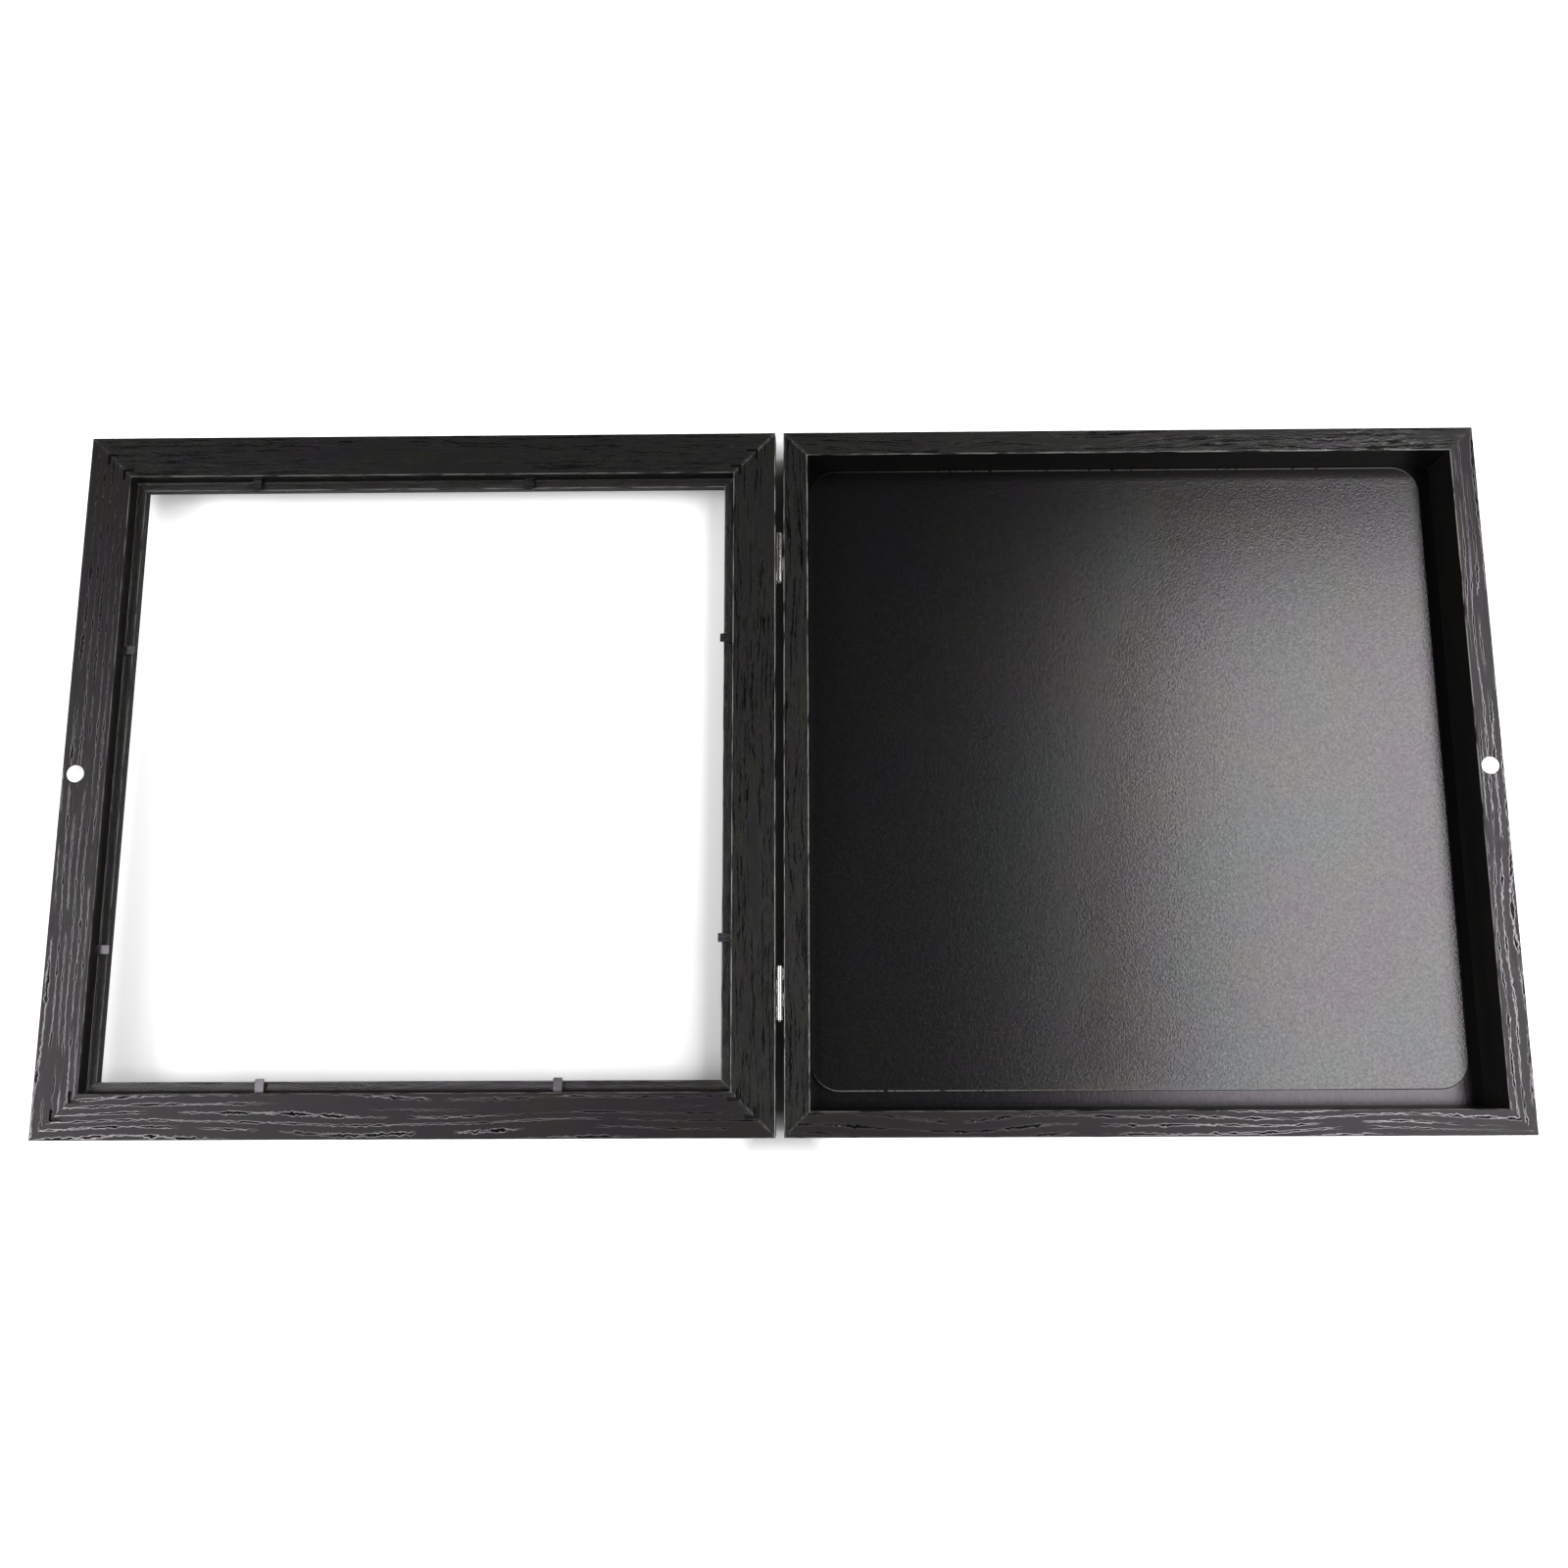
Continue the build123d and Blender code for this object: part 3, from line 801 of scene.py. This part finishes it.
def curled_knuckle(name):
    """One knuckle of the case's leaf, about the origin: sheet that rises from it and curls round the pin."""
    curl = radians(300)
    curl_steps = 16
    # Millimetres out from the pin's axis, and up
    path = [(1.9, -3.2), (1.9, -2.5), (1.84, -1.9), (1.62, -1.25), (1.36, -0.6)]
    line = [Vector(point) * mm for point in path]
    for step in range(curl_steps + 1):
        angle = step / curl_steps * curl
        line.append(curl_radius * Vector((cos(angle), sin(angle))))
    half_width = (knuckle_pitch - knuckle_play) / 2
    ease = 0.1 * mm
    shape = bmesh.new()
    rings = []
    eased_ends = [(-half_width, ease), (ease - half_width, 0), (half_width - ease, 0), (half_width, ease)]
    for y, thin in eased_ends:
        ring = []
        for number, spot in enumerate(line):
            ahead = line[min(number + 1, len(line) - 1)] - line[max(number - 1, 0)]
            out = Vector((ahead.y, -ahead.x)).normalized() * (leaf_sheet / 2 - thin)
            for side in (1, -1):
                ring.append(shape.verts.new((spot.x + side * out.x, y, spot.y + side * out.y)))
        rings.append(ring)
    last = 2 * len(line) - 2
    for ring, following in zip(rings, rings[1:]):
        for start in range(0, last, 2):
            shape.faces.new([ring[start], ring[start + 2], following[start + 2], following[start]])
            shape.faces.new([ring[start + 1], ring[start + 3], following[start + 3], following[start + 1]])
        shape.faces.new([ring[0], ring[1], following[1], following[0]])
        shape.faces.new([ring[last], ring[last + 1], following[last + 1], following[last]])
    for ring in (rings[0], rings[-1]):
        for start in range(0, last, 2):
            shape.faces.new([ring[start], ring[start + 1], ring[start + 3], ring[start + 2]])
    bmesh.ops.recalc_face_normals(shape, faces=shape.faces)
    return from_bmesh(name, shape, smooth_angle=30)


def countersunk_screw(name):
    """Screw pointing to +X from the origin, with a cross recess and a thread. Its profile is in mm."""
    profile = [(0, 0), (1.5, 0), (1.8, 0.06), (1.05, 0.8), (1.0, 1.1)]
    thread_turns = 9
    thread_pitch = 0.7
    for number in range(thread_turns):
        start = 1.3 + number * thread_pitch
        core = 0.72 - 0.035 * number
        crest = core + 0.26
        profile += [(core, start), (crest, start + 0.28), (crest, start + 0.36), (core, start + 0.6)]
    profile += [(0.25, 7.8), (0.1, 8.0), (0, 8.0)]
    screw = turned(name, [Vector(point) * mm for point in profile], Matrix.Rotation(pi / 2, 4, "Y"), 28)
    reach = 1.05 * mm
    half_width = 0.2 * mm
    arm = [(-reach, -half_width), (reach, -half_width), (reach, half_width), (-reach, half_width)]
    for turn in (0.3, 0.3 + pi / 2):
        across = Matrix.Rotation(turn, 4, "X") @ Matrix.Rotation(pi / 2, 4, "Y")
        recess = raised("recess", arm, -0.5 * mm, 0.45 * mm, turn=across)
        cut_from(screw, recess)
        bpy.data.objects.remove(recess)
    return screw


def leaf_plate(name):
    """Flat part of the case's leaf: its upper edge drops below the other leaf's knuckles."""
    half_length = hinge_length / 2
    corner = 1.2 * mm
    outline = [(leaf_foot + corner, half_length), (leaf_foot, half_length - corner)]
    outline += [(leaf_foot, corner - half_length), (leaf_foot + corner, -half_length)]
    outline += [(notch_floor, -half_length), (notch_floor, half_length)]
    # The outline's X stands up as Z, and the sheet's thickness runs along X
    lying = Matrix(((0, 0, 1, 0), (0, 1, 0, 0), (1, 0, 0, 0), (0, 0, 0, 1)))
    # A hair thinner than the knuckles, so that no two faces lie in one plane
    hair = 0.01 * mm
    sheet = (leaf_middle - leaf_sheet / 2 + hair, leaf_middle + leaf_sheet / 2 - hair)
    plate = raised(name, outline, sheet[0], sheet[1], 0.1 * mm, turn=lying)
    for y in (-screw_spacing / 2, screw_spacing / 2):
        sink = [(0, -0.6), (2.45, -0.6), (1.0, 0.85), (1.0, 2.0), (0, 2.0)]
        place = Matrix.Translation((sheet[0], y, screw_drop)) @ Matrix.Rotation(pi / 2, 4, "Y")
        hole = turned("screw_hole", [Vector(point) * mm for point in sink], place)
        cut_from(plate, hole)
        bpy.data.objects.remove(hole)
    return plate


def joined(name, *pieces):
    """Brings pieces together into the first one's mesh."""
    shape = bmesh.new()
    for piece in pieces:
        shape.from_mesh(piece.data)
        bpy.data.objects.remove(piece)
    return from_bmesh(name, shape, smooth_angle=30)


def moved(piece, matrix):
    piece.data.transform(matrix)
    return piece


# The pin from its peened end to its head, in millimetres
pin_profile = [(0, -15.4), (0.75, -15.4), (1.1, -15.0), (0.8, -14.5), (0.75, -14.4)]
pin_profile += [(0.75, 14.5), (1.2, 14.5), (1.35, 14.65), (1.3, 14.85), (1.0, 15.0), (0, 15.0)]
pin_turn = Matrix.Rotation(-pi / 2, 4, "X")
for hinge, y in (("upper", hinge_distance), ("lower", -hinge_distance)):
    centre = Matrix.Translation((0, y, axis_height))
    for body, first_knuckle, facing in (("case", 1, Matrix.Identity(4)), ("door", 0, flip)):
        node = hinge + "_hinge_" + body + "_leaf"
        way = 1 if body == "case" else -1
        start = (0, way * (hinge_length / 2 - (first_knuckle + 0.5) * knuckle_pitch), 0)
        knuckle = curled_knuckle("knuckle")
        every_other = way * -2 * knuckle_pitch
        knuckles = in_a_row(node + "_knuckles", knuckle, knuckle_count // 2, start, every_other, nickel)
        leaf = joined(node + "_piece", leaf_plate("plate"), knuckles)
        finished(moved(leaf, centre @ facing), body, "nickel", nickel, node)
    pin = turned(hinge + "_pin", [Vector(point) * mm for point in pin_profile], centre @ pin_turn)
    finished(pin, "case", "nickel", nickel, hinge + "_hinge_pin")

for body, turn in (("case", 0), ("door", 180)):
    reach = leaf_middle - leaf_sheet / 2
    across = reach if body == "case" else -reach
    offsets = (-screw_spacing / 2, screw_spacing / 2)
    rows = [middle + offset for middle in (-hinge_distance, hinge_distance) for offset in offsets]
    marks = [((across, row, axis_height + screw_drop), turn) for row in rows]
    screws = set_out(body + "_screws", countersunk_screw("screw"), marks, nickel)
    finished(screws, body, "nickel", nickel, body + "_hinge_screws")

# Magnets, bumpers and the nails of the hangers are turned. Their profiles are in millimetres
magnet_profile = [Vector(point) * mm for point in [(0, -3.1), (5, -3.1), (5, -0.1), (0, -0.1)]]
for half, place in magnet_places.items():
    on_rim = Matrix.Translation((place.x, place.y, rim))
    disc = turned(half + "_disc", eased(magnet_profile, 0.25 * mm), on_rim, 64)
    finished(disc, half, "magnet", magnet_plate, half + "_magnet")
bumper_profile = [Vector(point) * mm for point in [(0, 0), (3.2, 0), (4, 3), (0, 3)]]
bumper = turned("bumper", eased(bumper_profile, 0.5 * mm, 5))
bumper_insets = (4.5 * mm,)
bumper_marks = [(mark, 0) for mark, turn in corner_marks(case_centre, bumper_insets)]
finished(set_out("corner_bumpers", bumper, bumper_marks, rubber), "case", "bumpers", rubber, "wall_bumpers")
nail_head = [(0, -1.4), (1.2, -1.4), (1.6, -1.1), (1.6, -0.8), (0.7, -0.8)]
nail_shank = [(0.7, 7.2), (0.1, 8.2), (0, 8.2)]
hanger_nail = turned("hanger_nail", [Vector(point) * mm for point in nail_head + nail_shank])
nail_distance = 19.25 * mm
nail_marks = []
for node in ("left_hanger", "right_hanger"):
    low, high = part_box(node)
    for share in (-1, 1):
        place = ((low.x + high.x) / 2 + share * nail_distance, (low.y + high.y) / 2, case_low.z)
        nail_marks.append((place, 0))
    hanger = cad_copy(node, node + "_strip", 0.1 * mm)
    finished(hanger, "case", "hangers", hanger_brass, node)
hanger_nails = set_out("nails_of_hangers", hanger_nail, nail_marks, hanger_brass)
finished(hanger_nails, "case", "hangers", hanger_brass, "hanger_nails")


# Pane, back panel and display board

def flat_sheet(name, low, high, corner_radius, edge, body, slot, finish, node, corner_highlight_and_shade=(0, 0, 0, 0)):
    """Sheet with taken-off edges, which carry the painted highlight (above zero) and painted shade (below
    zero) given for its corners, from +X+Y round to +X-Y.
    """
    middle = (low + high) / 2
    reach = (high - low) / 2
    shape = bmesh.new()
    cut = shape.verts.layers.float.new("edge_highlight_and_shade")
    outline = []
    turns = 14 if corner_radius else 0
    for quarter in range(4):
        for step in range(turns + 1):
            angle = (quarter + (step / turns if turns else 0.5)) * pi / 2
            out = Vector((cos(angle), sin(angle)))
            corner = Vector((1 if quarter in (0, 3) else -1, 1 if quarter in (0, 1) else -1))
            # The corner's painted highlight and shade are strongest on the top and bottom edges
            outline.append((corner, out, corner_highlight_and_shade[quarter] * out.y ** 2))
    levels = [(low.z, edge, 0), (low.z + edge, 0, 0), (high.z - edge, 0, 1)]
    levels += [(high.z, edge, 1), (high.z, 3 * edge, 0)]
    rings = []
    for height, back, painted in levels:
        ring = []
        for corner, out, mark in outline:
            x = corner.x * (reach.x - corner_radius) + out.x * (corner_radius - back)
            y = corner.y * (reach.y - corner_radius) + out.y * (corner_radius - back)
            if not corner_radius:
                x = corner.x * (reach.x - back)
                y = corner.y * (reach.y - back)
            vertex = shape.verts.new((middle.x + x, middle.y + y, height))
            vertex[cut] = painted * mark
            ring.append(vertex)
        rings.append(ring)
    count = len(outline)
    for ring, following in zip(rings, rings[1:]):
        for number in range(count):
            beside = (number + 1) % count
            shape.faces.new([ring[number], ring[beside], following[beside], following[number]])
    shape.faces.new(rings[0])
    shape.faces.new(rings[-1])
    bmesh.ops.recalc_face_normals(shape, faces=shape.faces)
    return finished(from_bmesh(name, shape, smooth_angle=30), body, slot, finish, node)


# The pane's faces stay just off the lip and the points, so that no two faces lie in one plane
pane_gap = Vector((0, 0, 0.06 * mm))
flat_sheet(
    "pane_sheet", pane_low + pane_gap, pane_high - pane_gap, 0, 0.15 * mm,
    "door", "pane", acrylic, "clear_pane"
)
flat_sheet("panel_sheet", panel_low, panel_high, 0, 0.3 * mm, "case", "panel", hardboard, "back_panel")
flat_sheet(
    "core_sheet", core_low, core_high, board_corner_radius, 0.1 * mm,
    "board", "board_core", core_board, "board_core"
)
# The board's face: painted highlight, with some scuffing, along its top edge and bottom left; painted shade
# along its bottom right
flat_sheet(
    "face_sheet", face_low, face_high, board_corner_radius, 0.26 * mm,
    "board", "board_face", leather, "board_face", corner_highlight_and_shade=(1, 0.1, 0.8, -1)
)


# Floor, backdrop, lamps and camera, none of which is part of the frame

def studio_floor():
    shape = bmesh.new()
    bmesh.ops.create_grid(shape, x_segments=8, y_segments=8, size=9)
    floor = from_bmesh("studio_floor", shape)
    white = Finish("white_floor")
    place = white.place()
    distance = white.add("ShaderNodeVectorMath", {0: place}, operation="LENGTH").outputs["Value"]
    path = white.add("ShaderNodeLightPath").outputs
    # Seen directly or through the pane, the paper is bleached white, except for a painted shadow under the
    # gap between the halves; through the pane it also carries painted shading
    seen = white.calc("MAXIMUM", path["Is Camera Ray"], path["Is Transmission Ray"])
    shown = white.calc("MAXIMUM", seen, path["Is Glossy Ray"])
    spot = white.add("ShaderNodeSeparateXYZ", {0: place}).outputs
    beside = white.calc("ABSOLUTE", spot[0])
    past_end = white.calc("ABSOLUTE", spot[1])
    # Painted shadow mask: zero in a strip under the gap between the halves
    outside_painted_gap_shadow = white.calc("MAXIMUM", white.ramp(beside, 0.004, 0.030), white.ramp(past_end, 0.188, 0.226))
    # Seen through the pane: painted light at the far left end, painted shade near the hinge side
    painted_light_far_left = white.ramp(spot[0], -0.34, -0.30, 1.12, 1.0)
    painted_shade_by_hinge = white.ramp(spot[0], -0.10, -0.03, 1.0, 0.86)
    at_end = white.calc("MULTIPLY", painted_light_far_left, painted_shade_by_hinge)
    # Painted shading through the pane: lighter towards the top, darker towards the bottom
    painted_shading_in_pane = white.calc("MULTIPLY", white.ramp(spot[1], -0.17, 0.17, 1.42, 2.08), at_end)
    open_tone = white.blend(path["Is Transmission Ray"], (1.90, 1.90, 1.90, 1), painted_shading_in_pane)
    # The painted shadow under the gap is this dark grey
    lit = white.blend(outside_painted_gap_shadow, (0.16, 0.16, 0.155, 1), open_tone)
    paper = white.blend(seen, (0.80, 0.80, 0.80, 1), lit)
    diffuse = white.add("ShaderNodeBsdfDiffuse", {"Color": paper})
    glow = white.add("ShaderNodeEmission", {"Color": (1, 1, 1, 1), "Strength": 1.0})
    # Past the frame it fades into a plain white backdrop
    far = white.calc("MULTIPLY", white.ramp(distance, 0.75, 1.6), shown)
    mix = white.add("ShaderNodeMixShader", {0: far, 1: diffuse.outputs[0], 2: glow.outputs[0]})
    white.tree.links.new(mix.outputs[0], white.out.inputs["Surface"])
    white.tree.nodes.remove(white.surface)
    floor.data.materials.append(white.material)


def studio_world():
    """White backdrop round the horizon and a dim ceiling above it."""
    world = bpy.data.worlds.new("studio")
    bpy.context.scene.world = world
    world.use_nodes = True
    tree = world.node_tree
    tree.nodes.clear()
    direction = shader_node(tree, "ShaderNodeTexCoord").outputs["Generated"]
    height = shader_node(tree, "ShaderNodeSeparateXYZ", {0: direction}).outputs[2]
    path = shader_node(tree, "ShaderNodeLightPath").outputs

    def ramp(low, high, start, end):
        values = {"Value": height, "From Min": low, "From Max": high, "To Min": start, "To Max": end}
        return shader_node(tree, "ShaderNodeMapRange", values).outputs[0]

    def calc(operation, a, b):
        return shader_node(tree, "ShaderNodeMath", {0: a, 1: b}, operation=operation).outputs[0]

    def mixed(factor, a, b):
        return shader_node(tree, "ShaderNodeMix", {0: factor, 2: a, 3: b}, data_type="FLOAT").outputs[0]

    reflected = ramp(0.02, 0.35, 0.5, 0.036)
    lighting = calc("MULTIPLY", ramp(0.2, 0.5, 0.0, 0.52), ramp(0.88, 0.98, 1.0, 0.0))
    seen = calc("MAXIMUM", path["Is Camera Ray"], path["Is Transmission Ray"])
    strength = mixed(seen, mixed(path["Is Glossy Ray"], lighting, reflected), 1.0)
    backdrop = shader_node(tree, "ShaderNodeBackground", {"Color": (1, 1, 1, 1), "Strength": strength})
    out = shader_node(tree, "ShaderNodeOutputWorld")
    tree.links.new(backdrop.outputs[0], out.inputs["Surface"])


def softbox(name, place, aim, along, across, power):
    """Softbox beside the frame: along is its length in Y, across its other side."""
    lamp = bpy.data.lights.new(name, "AREA")
    lamp.shape = "RECTANGLE"
    lamp.size = along
    lamp.size_y = across
    lamp.energy = power
    holder = bpy.data.objects.new(name, lamp)
    holder.location = place
    holder.rotation_euler = (Vector(aim) - Vector(place)).to_track_quat("-Z", "Y").to_euler()
    bpy.context.scene.collection.objects.link(holder)


def photo_camera():
    """Camera above the frame, nearer its bottom edge. Its lens is given in the photograph's pixels."""
    focal_pixels = 1273.07
    picture_side = 1600
    centre_x = 825.91
    centre_y = 826.70
    lens = bpy.data.cameras.new("photo_camera")
    lens.sensor_width = 36
    lens.lens = focal_pixels / picture_side * lens.sensor_width
    lens.shift_x = (picture_side / 2 - centre_x) / picture_side
    lens.shift_y = (centre_y - picture_side / 2) / picture_side
    camera = bpy.data.objects.new("photo_camera", lens)
    camera.location = (0.02218, -0.13348, rim + 0.68311)
    camera.rotation_euler = Euler((0.16003, 0.00897, -0.00436), "XYZ")
    bpy.context.scene.collection.objects.link(camera)
    bpy.context.scene.camera = camera


studio_floor()
studio_world()
softbox("right_softbox", (1.50, 0.05, 2.25), (0.35, 0.05, 0), 2.00, 1.30, 42.5)
softbox("left_softbox", (-2.26, -0.40, 2.33), (-0.37, -0.10, 0), 2.30, 0.90, 34)
softbox("front_softbox", (-1.10, -0.42, 2.25), (-0.24, -0.19, 0), 0.50, 1.20, 5.4)
photo_camera()
bpy.context.scene.view_settings.view_transform = "Standard"
